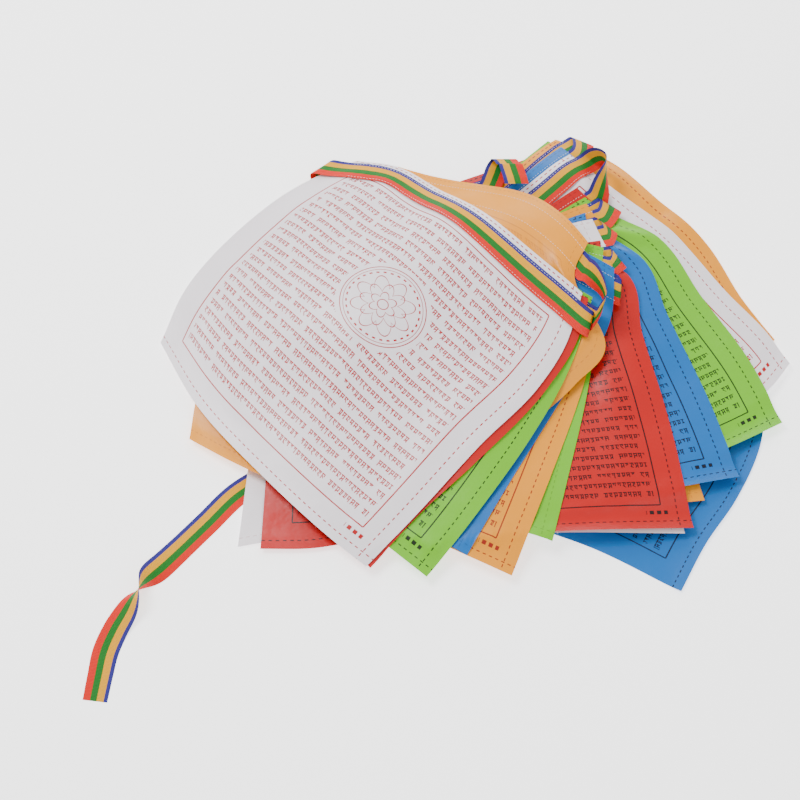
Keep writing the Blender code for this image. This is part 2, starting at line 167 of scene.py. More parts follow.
# The flags from the bottom of the heap to its top.
FLAGS = (
    FlagPlan("blue", 1, 9, (-40, -44), (128, 248), (370, 50), (265, -200),
             hem=((0.38, 25), (0.6, 20), (0.8, 7)), left=((0.5, 6), (0.75, -2))),
    FlagPlan("white", 2, 9, (-128, 180), (145, 243), (180, -92), (-155, -156)),
    FlagPlan("red", 3, 9, (-122, 182), (154, 292), (185, -70), (-133, -159),
             hem=((0.7, 17), (0.85, 13))),
    FlagPlan("green", 4, 10, (-62, 88), (160, 306), (365, 60), (140, -135),
             right=((0.17, 14), (0.5, 18))),
    FlagPlan("yellow", 5, 10, (-66, 90), (168, 306), (381, 66), (148, -138),
             right=((0.08, 12), (0.17, 24), (0.4, 29), (0.62, 30), (0.83, 10))),
    FlagPlan("blue", 6, 10, (-62, 80), (172, 288), (378, 30), (130, -140),
             right=((0.4, 12), (0.7, 6))),
    FlagPlan("white", 7, 10, (-60, 76), (180, 276), (392, 37), (150, -145),
             right=((0.1, 4), (0.4, 21), (0.7, 13), (0.9, 8)), hem=((0.1, 8), (0.4, 5))),
    FlagPlan("red", 8, 10, (-68, 52), (185, 230), (352, -35), (95, -148),
             right=((0.25, 20), (0.5, 16))),
    FlagPlan("green", 9, 10, (-67, 46), (193, 219), (377, -29), (85, -152),
             right=((0.07, 8), (0.25, 36), (0.5, 29), (0.8, 18)), hem=((0.15, 3),)),
    FlagPlan("yellow", 10, 10, (-100, 85), (193, 207), (294, -110), (-5, -148),
             right=((0.2, 15), (0.5, 12))),
    FlagPlan("blue", 11, 10, (-98, 78), (191, 195), (329, -87), (17, -152),
             right=((0.03, -3), (0.11, 11), (0.22, 30), (0.42, 23), (0.7, 16))),
    FlagPlan("white", 12, 10, (-106, 105), (197, 184), (272, -144), (-45, -150),
             right=((0.2, 10), (0.6, 8))),
    FlagPlan("red", 13, 10, (-105, 99), (204, 159), (280, -140), (-40, -156),
             right=((0.05, -2), (0.14, 17), (0.34, 12), (0.64, 11))),
    FlagPlan("green", 14, 10, (-70, 214), (206, 147), (144, -156), (-152, -62),
             right=((0.45, 9), (0.8, 4))),
    FlagPlan("yellow", 15, 10, (-66, 218), (214, 127), (105, -188), (-176, -48),
             right=((0.4, 9), (0.7, 6)), hem=((0.2, 2),)),
    FlagPlan("blue", 16, 10, (-42, 260), (215, 122), (63, -169), (-188, -28),
             right=((0.12, 17), (0.47, 11), (0.8, 4)), left_reach=29),
    FlagPlan("yellow", 20, 12, (-2, 270), (189, 147), (35, -160), (-207, -46),
             heading=((0.15, 4), (0.36, 12), (0.7, 20), (0.9, 9)),
             right=((0.12, 4), (0.26, 60), (0.4, 50), (0.6, 25)), hem=((0.85, 4),),
             left=((0.5, 8), (0.9, 20))),
    FlagPlan("green", 19, 10, (-68, 237), (191, 87), (25, -189), (-203, 34),
             right=((0.17, 13), (0.5, 18), (0.8, 10)), hem=((0.15, 5),)),
    FlagPlan("red", 18, 10, (-63, 243), (186, 82), (-28, -180), (-230, 48),
             right=((0.11, 16), (0.28, 23), (0.6, 16), (0.8, 5)), hem=((0.4, 10),)),
    FlagPlan("white", 17, 14, (-45, 275), (180, 87), (-32, -179), (-243, 62),
             heading=((0.14, 17), (0.38, 14), (0.69, 5)),
             right=((0.15, 18), (0.3, 23), (0.55, 15), (0.8, 8)),
             hem=((0.1, 6), (0.4, 16), (0.76, 16)),
             left=((0.1, 11), (0.31, 28), (0.6, 33), (0.83, 22)), left_reach=7),
)


@dataclass(frozen=True)
class Crease:
    """A soft ridge, or a trough where high is below nothing.

    start and end are (part across, part down), high and wide millimetres.
    """

    order: int
    start: tuple
    end: tuple
    high: float
    wide: float

    def height(self, across: np.ndarray, down: np.ndarray) -> np.ndarray:
        """The crease's height at places on the flat cloth, lower towards its two ends."""
        size = np.array((FLAG_WIDTH, FLAG_LENGTH))
        a, b = np.array(self.start) * size, np.array(self.end) * size
        reach = np.stack((across, down), -1) - a
        t = np.clip(reach @ (b - a) / ((b - a) @ (b - a)), 0, 1)
        away = np.linalg.norm(reach - t[..., None] * (b - a), axis=-1)
        fade = 0.35 + 0.65 * np.sin(np.pi * t) ** 0.5
        return self.high * np.exp(-(away / self.wide) ** 2) * fade


CREASES = (
    Crease(17, (0.04, 0.30), (0.30, 0.52), 2.0, 14),
    Crease(17, (0.02, 0.62), (0.26, 0.74), 2.4, 16),
    Crease(17, (0.30, 0.62), (0.44, 0.93), 3.0, 18),
    Crease(17, (0.52, 0.40), (0.62, 0.86), 2.2, 16),
    Crease(17, (0.72, 0.14), (0.78, 0.46), 2.0, 12),
    Crease(17, (0.16, 0.10), (0.34, 0.16), 2.6, 8),
    Crease(17, (0.44, 0.12), (0.60, 0.14), 2.2, 8),
    Crease(17, (0.86, 0.30), (0.93, 0.85), 1.8, 14),
    Crease(18, (0.93, 0.12), (0.95, 0.60), 2.2, 10),
    Crease(19, (0.92, 0.16), (0.86, 0.62), 2.2, 12),
    Crease(20, (0.90, 0.14), (0.94, 0.42), 4.0, 12),
    Crease(20, (0.40, 0.05), (0.62, 0.22), 2.0, 14),
    Crease(16, (0.93, 0.18), (0.90, 0.62), 2.4, 12),
    Crease(15, (0.90, 0.22), (0.86, 0.80), 2.4, 12),
    Crease(14, (0.92, 0.20), (0.90, 0.80), 2.0, 12),
    Crease(13, (0.90, 0.03), (0.96, 0.14), 5.0, 9),
    Crease(13, (0.88, 0.30), (0.82, 0.92), 2.0, 20),
    Crease(11, (0.86, 0.05), (0.97, 0.20), 6.0, 10),
    Crease(11, (0.90, 0.30), (0.88, 0.95), 2.0, 16),
    Crease(9, (0.84, 0.05), (0.97, 0.24), 6.0, 11),
    Crease(9, (0.80, 0.03), (0.92, 0.20), -3.0, 8),
    Crease(9, (0.86, 0.34), (0.80, 0.95), 2.4, 18),
    Crease(7, (0.92, 0.02), (0.96, 0.24), 4.0, 10),
    Crease(7, (0.90, 0.30), (0.92, 0.95), 2.4, 16),
    Crease(5, (0.94, 0.04), (0.97, 0.40), 4.0, 10),
    Crease(5, (0.97, 0.45), (0.92, 0.80), 3.0, 12),
    Crease(3, (0.10, 0.86), (0.40, 0.84), 2.0, 10),
    Crease(1, (0.40, 0.80), (0.80, 0.86), 3.0, 18),
)

# How far the last strip before the hem lifts, for the flags that show it.
HEM_LIFT = {1: 2.0, 3: 3.0, 7: 3.0, 9: 3.5, 11: 4.0, 13: 4.0, 15: 2.5, 17: 1.0, 19: 2.0, 20: 3.0}
HEM_LIFT_LEAST = 0.6
HEM_STRIP = 19.0
UNEVEN = 0.45


def bow(part: np.ndarray, bends: tuple) -> np.ndarray:
    """How far an edge bows out along its length, through its bends, from nothing at each end."""
    knots = np.array(((0.0, 0.0),) + tuple(bends) + ((1.0, 0.0),), float)
    slope = np.gradient(knots[:, 1], knots[:, 0])
    row = np.clip(np.searchsorted(knots[:, 0], part, side="right") - 1, 0, len(knots) - 2)
    span = knots[row + 1, 0] - knots[row, 0]
    t = (part - knots[row, 0]) / span
    first = (1 + 2 * t) * (1 - t) ** 2 * knots[row, 1] + t * (1 - t) ** 2 * span * slope[row]
    return first + t * t * (3 - 2 * t) * knots[row + 1, 1] - t * t * (1 - t) * span * slope[row + 1]


def smooth_rows(values: np.ndarray, at: np.ndarray) -> np.ndarray:
    """Reads rows of values between their own places with a smooth curve.

    Args:
        values: an array whose first axis is read.
        at: places on that axis, as parts of a row.

    Returns:
        The values there, with the other axes as they were.
    """
    last = len(values) - 1
    row = np.clip(at.astype(int), 0, last - 1)
    t = (at - row).reshape((-1,) + (1,) * (values.ndim - 1))
    a, b = values[np.clip(row - 1, 0, last)], values[row]
    c, d = values[row + 1], values[np.clip(row + 2, 0, last)]
    return b + 0.5 * t * (c - a + t * (2 * a - 5 * b + 4 * c - d + t * (3 * (b - c) + d - a)))


def soften(grid: np.ndarray) -> np.ndarray:
    """The same grid with each value moved towards its neighbours."""
    for axis in (0, 1):
        near = np.concatenate((grid.take([0], axis), grid.take(range(grid.shape[axis] - 1), axis)), axis)
        far = np.concatenate((grid.take(range(1, grid.shape[axis]), axis), grid.take([-1], axis)), axis)
        grid = 0.5 * grid + 0.25 * (near + far)
    return grid


class Pile:
    """The height of all that is laid so far, on a fine raster of the floor."""

    STEP = 2.0
    LOW = np.array((-440.0, -380.0))
    SIZE = (420, 360)

    def __init__(self) -> None:
        """Starts with the bare floor."""
        self.top = np.zeros(self.SIZE)

    def cells(self, points: np.ndarray) -> tuple[np.ndarray, np.ndarray]:
        """Raster row and column under each plan point."""
        at = np.rint((points[..., :2] - self.LOW) / self.STEP).astype(int)
        return np.clip(at[..., 0], 1, self.SIZE[0] - 2), np.clip(at[..., 1], 1, self.SIZE[1] - 2)

    def under(self, points: np.ndarray, gap: float) -> np.ndarray:
        """The least height at which a sheet clears the pile at plan points by a gap."""
        wide = self.top
        for axis in (0, 1):
            wide = np.max([np.roll(wide, k, axis) for k in (-1, 0, 1)], axis=0)
        i, j = self.cells(points)
        return np.where(wide[i, j] > 0, wide[i, j] + gap, FLOOR_GAP)

    def settle(self, points: np.ndarray, gap: float, rounds: int) -> np.ndarray:
        """Lifts a grid of points softly until it clears the pile.

        Args:
            points: a grid of points, with the heights wished for.
            gap: the clear space left below.
            rounds: how often the lift is softened.

        Returns:
            The grid at its settled heights.
        """
        short = np.maximum(self.under(points, gap) - points[..., 2], 0)
        lift = short
        for _ in range(rounds):
            lift = np.maximum(soften(lift), short)
        settled = points.copy()
        settled[..., 2] += lift
        return settled

    def add(self, points: np.ndarray) -> None:
        """Adds a settled grid of points to the pile."""
        dense = points
        for axis in (0, 1):
            count = dense.shape[axis]
            at = np.linspace(0, count - 1, 3 * (count - 1) + 1)
            low = np.clip(at.astype(int), 0, count - 2)
            part = (at - low).reshape((-1, 1, 1) if axis == 0 else (1, -1, 1))
            dense = dense.take(low, axis) * (1 - part) + dense.take(low + 1, axis) * part
        i, j = self.cells(dense)
        np.maximum.at(self.top, (i.ravel(), j.ravel()), dense[..., 2].ravel())


def node_points(node: bpy.types.Object) -> np.ndarray:
    """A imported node's vertices, in millimetres of the heap's own plan."""
    flat = np.empty(3 * len(node.data.vertices), np.float32)
    node.data.vertices.foreach_get("co", flat)
    points = flat.reshape(-1, 3).astype(float) / MM
    points[:, :2] += MIDDLE
    return points


def between(rows: np.ndarray, at: float) -> np.ndarray:
    """Reads an array between two of its rows."""
    low = min(int(at), len(rows) - 2)
    return rows[low] * (1 - at + low) + rows[low + 1] * (at - low)


def placed(name: str, data: object) -> bpy.types.Object:
    """A new object at the origin, in the scene."""
    obj = bpy.data.objects.new(name, data)
    bpy.context.scene.collection.objects.link(obj)
    return obj


def mesh_object(
    name: str, points: np.ndarray, uv: np.ndarray, finish: bpy.types.Material
) -> bpy.types.Object:
    """Makes a grid of points into a smooth mesh at the origin.

    Args:
        name: the object's name.
        points: rows of points, in millimetres of the heap's own plan.
        uv: one pair for each point, in millimetres on the flat cloth.
        finish: its material.

    Returns:
        The new object.
    """
    rows, columns = points.shape[:2]
    local = points.copy()
    local[..., :2] -= MIDDLE
    a = (np.arange(rows - 1)[:, None] * columns + np.arange(columns - 1)).ravel()
    faces = np.stack((a, a + columns, a + columns + 1, a + 1), 1)
    mesh = bpy.data.meshes.new(name)
    mesh.from_pydata((local.reshape(-1, 3) * MM).tolist(), [], faces.tolist())
    layer = mesh.uv_layers.new(name="flat")
    layer.data.foreach_set("uv", uv.reshape(-1, 2)[faces.ravel()].astype(np.float32).ravel())
    mesh.shade_smooth()
    mesh.materials.append(finish)
    return placed(name, mesh)


class Graph:
    """Short calls that write the nodes of one tree."""

    def __init__(self, tree: bpy.types.NodeTree) -> None:
        """Takes the tree to write to."""
        self.tree = tree

    def add(self, kind: str, **settings: object) -> bpy.types.Node:
        """A new node with some of its settings."""
        node = self.tree.nodes.new(kind)
        for key, value in settings.items():
            setattr(node, key, value)
        return node

    def join(self, source: object, target: bpy.types.NodeSocket) -> None:
        """Feeds a socket from another one, or gives it a plain value."""
        if isinstance(source, bpy.types.NodeSocket):
            self.tree.links.new(source, target)
        else:
            target.default_value = source

    def math(self, operation: str, *inputs: object) -> bpy.types.NodeSocket:
        """The result of one sum on values or sockets."""
        node = self.add("ShaderNodeMath", operation=operation)
        for source, target in zip(inputs, node.inputs):
            self.join(source, target)
        return node.outputs[0]

    def band(self, value: object, low: object, high: object) -> bpy.types.NodeSocket:
        """One where a value lies between two others."""
        above = self.math("GREATER_THAN", value, low)
        return self.math("MULTIPLY", above, self.math("LESS_THAN", value, high))

    def near(self, value: object, middle: object, half: object) -> bpy.types.NodeSocket:
        """One where a value lies close to another."""
        away = self.math("ABSOLUTE", self.math("SUBTRACT", value, middle))
        return self.math("LESS_THAN", away, half)

    def all(self, *masks: object) -> bpy.types.NodeSocket:
        """One where every mask is one."""
        found = masks[0]
        for mask in masks[1:]:
            found = self.math("MULTIPLY", found, mask)
        return found

    def any(self, *masks: object) -> bpy.types.NodeSocket:
        """One where some mask is one."""
        found = masks[0]
        for mask in masks[1:]:
            found = self.math("MAXIMUM", found, mask)
        return found

    def less(self, mask: object) -> bpy.types.NodeSocket:
        """One where the mask is nothing."""
        return self.math("SUBTRACT", 1.0, mask)

    def vector(self, *parts: object) -> bpy.types.NodeSocket:
        """A vector of up to three values."""
        node = self.add("ShaderNodeCombineXYZ")
        for source, target in zip(parts, node.inputs):
            self.join(source, target)
        return node.outputs[0]

    def chance(self, *cell: object) -> bpy.types.Node:
        """White noise that stays the same all over a cell with two whole numbers."""
        node = self.add("ShaderNodeTexWhiteNoise", noise_dimensions="2D")
        self.join(self.vector(*cell), node.inputs["Vector"])
        return node


def shader_group(name: str, inputs: dict, outputs: tuple) -> tuple[bpy.types.NodeTree, Graph, dict, dict]:
    """An empty shader group with named sockets.

    Args:
        name: the group's name.
        inputs: socket type for each input's name.
        outputs: names of its value outputs.

    Returns:
        The tree, a Graph on it, its input sockets and its output sockets by name.
    """
    tree = bpy.data.node_groups.new(name, "ShaderNodeTree")
    for key, kind in inputs.items():
        tree.interface.new_socket(name=key, in_out="INPUT", socket_type=kind)
    for key in outputs:
        tree.interface.new_socket(name=key, in_out="OUTPUT", socket_type="NodeSocketFloat")
    graph = Graph(tree)
    source = graph.add("NodeGroupInput").outputs
    target = graph.add("NodeGroupOutput").inputs
    return tree, graph, {key: source[key] for key in inputs}, {key: target[key] for key in outputs}


@dataclass(frozen=True)
class PrintLayout:
    """The printed design of a flag, in millimetres from its heading's left end."""

    side: float = 27.0
    top: float = 40.0
    bottom: float = 318.0
    line: float = 0.65
    pitch: float = 11.2
    cell: float = 4.6
    group: float = 9.0
    seal: float = 40.0
    middle: tuple = (172.0, 148.0)
    dash: float = 6.5
    seam: float = 12.0

    def ink(self) -> bpy.types.NodeTree:
        """Builds the group whose Ink output is one where the cloth is printed."""
        tree, g, given, out = shader_group("flag_print", {"Flat": "NodeSocketVector"}, ("Ink",))
        split = g.add("ShaderNodeSeparateXYZ")
        g.join(given["Flat"], split.inputs[0])
        x, y = split.outputs[0], split.outputs[1]
        parts = (self.border(g, x, y), self.marks(g, x, y), self.rosette(g, x, y), self.dashes(g, x, y))
        g.join(g.any(*parts), out["Ink"])
        return tree

    def border(self, g: Graph, x: object, y: object) -> bpy.types.NodeSocket:
        """A thin frame line round the printed field."""
        far = FLAG_WIDTH - self.side
        upright = g.any(g.near(x, self.side, self.line), g.near(x, far, self.line))
        level = g.any(g.near(y, self.top, self.line), g.near(y, self.bottom, self.line))
        return g.any(
            g.all(upright, g.band(y, self.top, self.bottom)),
            g.all(level, g.band(x, self.side, far)),
        )

    def marks(self, g: Graph, x: object, y: object) -> bpy.types.NodeSocket:
        """Rows of short strokes that hang from a broken head line and stand for no letters."""
        down = g.math("DIVIDE", g.math("SUBTRACT", y, self.top + 4), self.pitch)
        row = g.math("FLOOR", down)
        fy = g.math("FRACT", down)
        starts = g.add("ShaderNodeTexWhiteNoise", noise_dimensions="1D")
        g.join(row, starts.inputs["W"])
        across = g.math("ADD", g.math("DIVIDE", x, self.cell), g.math("MULTIPLY", starts.outputs[0], 7.0))
        cell = g.math("FLOOR", across)
        fx = g.math("FRACT", across)
        split = g.add("ShaderNodeSeparateColor")
        g.join(g.chance(cell, row).outputs["Color"], split.inputs[0])
        r, s, t = split.outputs
        head = g.all(g.band(fy, 0.12, 0.22), g.math("LESS_THAN", fx, 0.84))
        first = g.all(
            g.near(fx, g.math("MULTIPLY_ADD", r, 0.22, 0.18), 0.1),
            g.band(fy, 0.12, g.math("MULTIPLY_ADD", s, 0.34, 0.34)),
        )
        second = g.all(
            g.near(fx, g.math("MULTIPLY_ADD", s, 0.2, 0.58), 0.1),
            g.band(fy, 0.12, g.math("MULTIPLY_ADD", t, 0.38, 0.32)),
        )
        slope = g.math("MULTIPLY", g.math("SUBTRACT", fx, 0.45), g.math("SUBTRACT", t, 0.5))
        foot = g.all(
            g.near(g.math("ADD", fy, slope), g.math("MULTIPLY_ADD", r, 0.2, 0.36), 0.055),
            g.band(fx, 0.16, 0.74),
            g.math("GREATER_THAN", s, 0.25),
        )
        group = g.math("FLOOR", g.math("DIVIDE", cell, self.group))
        last = g.math("SUBTRACT", cell, g.math("MULTIPLY", group, self.group))
        gap = g.all(
            g.math("GREATER_THAN", last, self.group - 1.5),
            g.math("GREATER_THAN", g.chance(group, row).outputs[0], 0.35),
        )
        away = self.from_middle(g, x, y)[0]
        field = g.all(
            g.band(x, self.side + 5, FLAG_WIDTH - self.side - 5),
            g.band(y, self.top + 4, self.bottom - 5),
            g.math("GREATER_THAN", away, self.seal + 5),
        )
        return g.all(g.any(head, first, second, foot), g.less(gap), field)

    def from_middle(self, g: Graph, x: object, y: object) -> tuple:
        """Distance from the flower's middle and the angle round it."""
        dx = g.math("SUBTRACT", x, self.middle[0])
        dy = g.math("SUBTRACT", y, self.middle[1])
        away = g.math("SQRT", g.math("ADD", g.math("MULTIPLY", dx, dx), g.math("MULTIPLY", dy, dy)))
        return away, g.math("ARCTAN2", dy, dx)

    def rosette(self, g: Graph, x: object, y: object) -> bpy.types.NodeSocket:
        """An eight-petalled flower in rings, above the middle of the field."""
        away, angle = self.from_middle(g, x, y)
        parts = [g.near(away, self.seal, 0.45), g.near(away, self.seal - 3, 0.3), g.near(away, 5.0, 0.45)]
        for reach, turn, petals in ((30.0, 0.0, 4.0), (22.0, 0.5, 4.0), (13.0, 0.0, 3.0)):
            wave = g.math("ABSOLUTE", g.math("COSINE", g.math("MULTIPLY_ADD", angle, petals, turn * math.pi)))
            outline = g.math("MULTIPLY_ADD", wave, reach * 0.4, reach * 0.6)
            parts.append(g.near(away, outline, 0.5))
        turns = g.math("FRACT", g.math("MULTIPLY", angle, 32 / math.tau))
        parts.append(g.all(g.near(away, self.seal - 6, 0.8), g.near(turns, 0.5, 0.22)))
        return g.any(*parts)

    def dashes(self, g: Graph, x: object, y: object) -> bpy.types.NodeSocket:
        """Rows of dashes inside the right side, above the hem and beyond the tape."""
        on_y = g.math("LESS_THAN", g.math("FRACT", g.math("DIVIDE", y, self.dash)), 0.52)
        on_x = g.math("LESS_THAN", g.math("FRACT", g.math("DIVIDE", x, self.dash)), 0.52)
        seams = g.near(x, FLAG_WIDTH - self.seam, 0.55)
        level = g.any(g.near(y, FLAG_LENGTH - 9, 0.55), g.near(y, 3.6, 0.6))
        corner = g.all(
            g.near(g.math("FRACT", g.math("DIVIDE", x, 7.0)), 0.5, 0.3),
            g.near(y, self.bottom + 8, 2.0),
            g.band(x, FLAG_WIDTH - 42, FLAG_WIDTH - 21),
        )
        return g.any(g.all(seams, on_y), g.all(level, on_x), corner)


def satin_weave() -> bpy.types.NodeTree:
    """The group that gives satin its fine ribs, its soft crumple and its uneven shine."""
    tree, g, given, out = shader_group("satin_weave", {"Flat": "NodeSocketVector"}, ("Height", "Shine"))
    stretch = g.add("ShaderNodeMapping")
    g.join(given["Flat"], stretch.inputs["Vector"])
    stretch.inputs["Scale"].default_value = (0.05, 0.9, 1.0)
    ribs = g.add("ShaderNodeTexNoise")
    g.join(stretch.outputs[0], ribs.inputs["Vector"])
    ribs.inputs["Scale"].default_value = 1.0
    ribs.inputs["Detail"].default_value = 2.0
    crumple = g.add("ShaderNodeTexNoise")
    g.join(given["Flat"], crumple.inputs["Vector"])
    crumple.inputs["Scale"].default_value = 0.035
    crumple.inputs["Detail"].default_value = 3.0
    height = g.math("MULTIPLY_ADD", ribs.outputs[0], 0.10, g.math("MULTIPLY", crumple.outputs[0], 2.0))
    g.join(height, out["Height"])
    g.join(g.math("MULTIPLY_ADD", crumple.outputs[0], 0.14, 0.30), out["Shine"])
    return tree


def tape_weave() -> bpy.types.NodeTree:
    """The group with the tape's cross ribs and its colour stripes' places."""
    tree, g, given, out = shader_group("tape_weave", {"Flat": "NodeSocketVector"}, ("Height", "Across"))
    split = g.add("ShaderNodeSeparateXYZ")
    g.join(given["Flat"], split.inputs[0])
    x, y = split.outputs[0], split.outputs[1]
    ribs = g.math("ABSOLUTE", g.math("SINE", g.math("MULTIPLY", x, math.pi / 1.3)))
    cords = g.math("ABSOLUTE", g.math("SINE", g.math("MULTIPLY", y, math.pi / 1.6)))
    g.join(g.math("MULTIPLY_ADD", cords, 0.12, g.math("MULTIPLY", ribs, 0.3)), out["Height"])
    g.join(g.math("DIVIDE", y, TAPE_WIDTH), out["Across"])
    return tree


def group_node(graph: Graph, tree: bpy.types.NodeTree) -> bpy.types.Node:
    """A node that uses a shader group, fed with the flat cloth's own millimetres."""
    flat = graph.add("ShaderNodeUVMap", uv_map="flat")
    node = graph.add("ShaderNodeGroup", node_tree=tree)
    graph.join(flat.outputs[0], node.inputs["Flat"])
    return node


@dataclass(frozen=True)
class Satin:
    """A printed satin: its colours as seen in even light, from nothing to one."""

    cloth: tuple
    ink: tuple
    strength: float

    def build(self, name: str, ink: bpy.types.NodeTree, weave: bpy.types.NodeTree) -> bpy.types.Material:
        """Makes the material.

        Args:
            name: the material's name.
            ink: the group with the print.
            weave: the group with the satin's relief.

        Returns:
            The new material.
        """
        mat, shader, g = new_material(name, specular_ior_level=0.4)
        cloth = group_node(g, weave)
        print_node = group_node(g, ink)
        colour = g.add("ShaderNodeMix", data_type="RGBA")
        g.join(g.math("MULTIPLY", print_node.outputs["Ink"], self.strength), colour.inputs["Factor"])
        colour.inputs[6].default_value = (*self.cloth, 1.0)
        colour.inputs[7].default_value = (*self.ink, 1.0)
        g.join(colour.outputs[2], shader.inputs["Base Color"])
        g.join(cloth.outputs["Shine"], shader.inputs["Roughness"])
        relief(g, shader, cloth.outputs["Height"], 0.5)
        return mat


def new_material(name: str, **looks: object) -> tuple[bpy.types.Material, bpy.types.Node, Graph]:
    """A new material, its Principled shader with some looks set, and a Graph on its tree.

    Args:
        name: the material's name.
        looks: values for the shader's sockets, each named in small letters with low lines.

    Returns:
        The material, its shader and the Graph.
    """
    mat = bpy.data.materials.new(name)
    mat.use_nodes = True
    shader = mat.node_tree.nodes["Principled BSDF"]
    sockets = {socket.name.lower().replace(" ", "_"): socket for socket in shader.inputs}
    for look, value in looks.items():
        sockets[look].default_value = value
    return mat, shader, Graph(mat.node_tree)


def relief(g: Graph, shader: bpy.types.Node, height: bpy.types.NodeSocket, strength: float) -> None:
    """Feeds a height in millimetres to a shader as bumps."""
    bump = g.add("ShaderNodeBump")
    bump.inputs["Strength"].default_value = strength
    bump.inputs["Distance"].default_value = MM
    g.join(height, bump.inputs["Height"])
    g.join(bump.outputs[0], shader.inputs["Normal"])


@dataclass(frozen=True)
class StripedTape:
    """The woven tape's finish: where each stripe ends across it, and its colour."""

    ends: tuple = (0.16, 0.44, 0.70)
    blue: tuple = (0.025, 0.02, 0.22)
    yellow: tuple = (0.80, 0.36, 0.0)
    green: tuple = (0.005, 0.16, 0.012)
    red: tuple = (0.72, 0.012, 0.002)

    def build(self, name: str) -> bpy.types.Material:
        """Makes the material with its four stripes."""
        mat, shader, g = new_material(name, roughness=0.62, specular_ior_level=0.3)
        weave = group_node(g, tape_weave())
        ramp = g.add("ShaderNodeValToRGB")
        ramp.color_ramp.interpolation = "CONSTANT"
        stripes = ramp.color_ramp.elements
        stripes[0].color = (*self.blue, 1.0)
        stripes[1].position = self.ends[0]
        stripes[1].color = (*self.yellow, 1.0)
        for end, colour in zip(self.ends[1:], (self.green, self.red)):
            stripes.new(end).color = (*colour, 1.0)
        g.join(weave.outputs["Across"], ramp.inputs[0])
        g.join(ramp.outputs[0], shader.inputs["Base Color"])
        relief(g, shader, weave.outputs["Height"], 0.9)
        return mat


@dataclass(frozen=True)
class Thread:
    """Sewing thread of one colour."""

    colour: tuple = (0.82, 0.82, 0.84)

    def build(self, name: str) -> bpy.types.Material:
        """Makes the material."""
        return new_material(name, base_color=(*self.colour, 1.0), roughness=0.55)[0]


SATINS = {
    "white": ((0.86, 0.80, 0.84), (0.42, 0.0, 0.002)),
    "red": ((0.50, 0.002, 0.001), (0.012, 0.0, 0.0)),
    "green": ((0.15, 0.50, 0.004), (0.008, 0.02, 0.002)),
    "yellow": ((0.84, 0.30, 0.0), (0.30, 0.01, 0.0)),
    "blue": ((0.0, 0.13, 0.44), (0.001, 0.002, 0.012)),
}


@dataclass
class Flag:
    """One flag's fine sheet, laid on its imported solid's folds."""

    plan: FlagPlan
    node: bpy.types.Object
    points: np.ndarray = None

    def shares(self, count: int) -> tuple[np.ndarray, np.ndarray]:
        """Parts across and down of an even grid in the solid's own spacing."""
        steps = np.linspace(0, 1, count)
        v, u = np.meshgrid(steps ** CROWD, 1 - (1 - steps) ** CROWD, indexing="ij")
        return u, v

    def solid_heights(self) -> np.ndarray:
        """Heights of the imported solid's lower face on its own coarse grid."""
        u, v = self.shares(self.plan.cells + 1)
        wished = self.plan.plan(u, v).reshape(-1, 2)
        found = node_points(self.node)
        away = np.linalg.norm(found[None, :, :2] - wished[:, None], axis=2)
        heights = np.where(away < away.min(1)[:, None] + 0.05, found[None, :, 2], np.inf).min(1)
        return heights.reshape(u.shape)

    def base(self, count: int) -> np.ndarray:
        """A grid of points on the solid's folds, made smooth between its own points."""
        u, v = self.shares(count)
        coarse = self.solid_heights()
        at = np.linspace(0, self.plan.cells, count)
        heights = smooth_rows(smooth_rows(coarse, at).T.copy(), at).T
        return np.concatenate((self.plan.plan(u, v), heights[..., None]), 2)

    def relief(self, u: np.ndarray, v: np.ndarray) -> np.ndarray:
        """Height of the flag's own creases, hem strip and soft unevenness."""
        across, down = u * FLAG_WIDTH, v * FLAG_LENGTH
        high = np.zeros(u.shape)
        for crease in CREASES:
            if crease.order == self.plan.order:
                high += crease.height(across, down)
        strip = np.clip((down - FLAG_LENGTH + HEM_STRIP) / HEM_STRIP, 0, 1)
        high += HEM_LIFT.get(self.plan.order, HEM_LIFT_LEAST) * strip ** 1.4
        shift = 1.7 * self.plan.order
        slow = np.sin(across / 23 + down / 61 + shift)
        quick = np.sin(down / 37 - across / 90 + 2 * shift)
        return high + (UNEVEN + UNEVEN * slow * quick)

    def lay(self, pile: Pile) -> None:
        """Settles the sheet on the pile and adds it there."""
        u, v = self.shares(GRID)
        wished = self.base(GRID)
        wished[..., 2] += self.relief(u, v)
        self.points = pile.settle(wished, CLOTH_GAP, 6)
        pile.add(self.points)

    def area(self) -> float:
        """The sheet's area in square millimetres."""
        p = self.points
        first = np.cross(p[1:, :-1] - p[:-1, :-1], p[:-1, 1:] - p[:-1, :-1])
        second = np.cross(p[1:, :-1] - p[1:, 1:], p[:-1, 1:] - p[1:, 1:])
        return (np.linalg.norm(first, axis=2).sum() + np.linalg.norm(second, axis=2).sum()) / 2

    def dress(self, finish: bpy.types.Material) -> bpy.types.Object:
        """Args:
            finish: its satin.

        Returns:
            The flag's object.
        """
        u, v = self.shares(GRID)
        uv = np.stack((u * FLAG_WIDTH, v * FLAG_LENGTH), -1)
        obj = mesh_object("satin_" + self.plan.name, self.points, uv, finish)
        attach(obj, "root")
        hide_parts(self.plan.name)
        return obj


